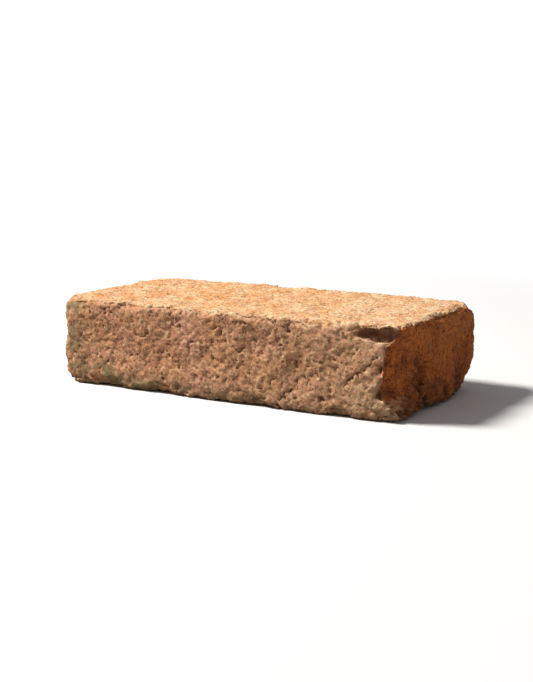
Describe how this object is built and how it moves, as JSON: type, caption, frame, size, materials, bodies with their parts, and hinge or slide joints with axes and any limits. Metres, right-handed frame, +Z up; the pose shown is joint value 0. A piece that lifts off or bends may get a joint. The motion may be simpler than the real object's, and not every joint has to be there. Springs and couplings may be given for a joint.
{
  "type": "firebrick",
  "caption": "Solid hand-moulded brick of fired clay with flat beds, battered arrises and broken corners, for dry-laid or mortared masonry.",
  "frame": {"origin": "under the middle of the brick, on the plane of its lower bed", "axes": "+X along the length, to the more battered end; -Y is the better long face; +Z up, through the two beds"},
  "size_m": [0.22, 0.107, 0.051],
  "materials": {
    "fired_clay": "unglazed, sandy and pitted, buff to pinkish brown, with a grey-green film and lime traces at the edges"
  },
  "bodies": {
    "root": {"brick": "fired_clay"}
  },
  "joints": []
}
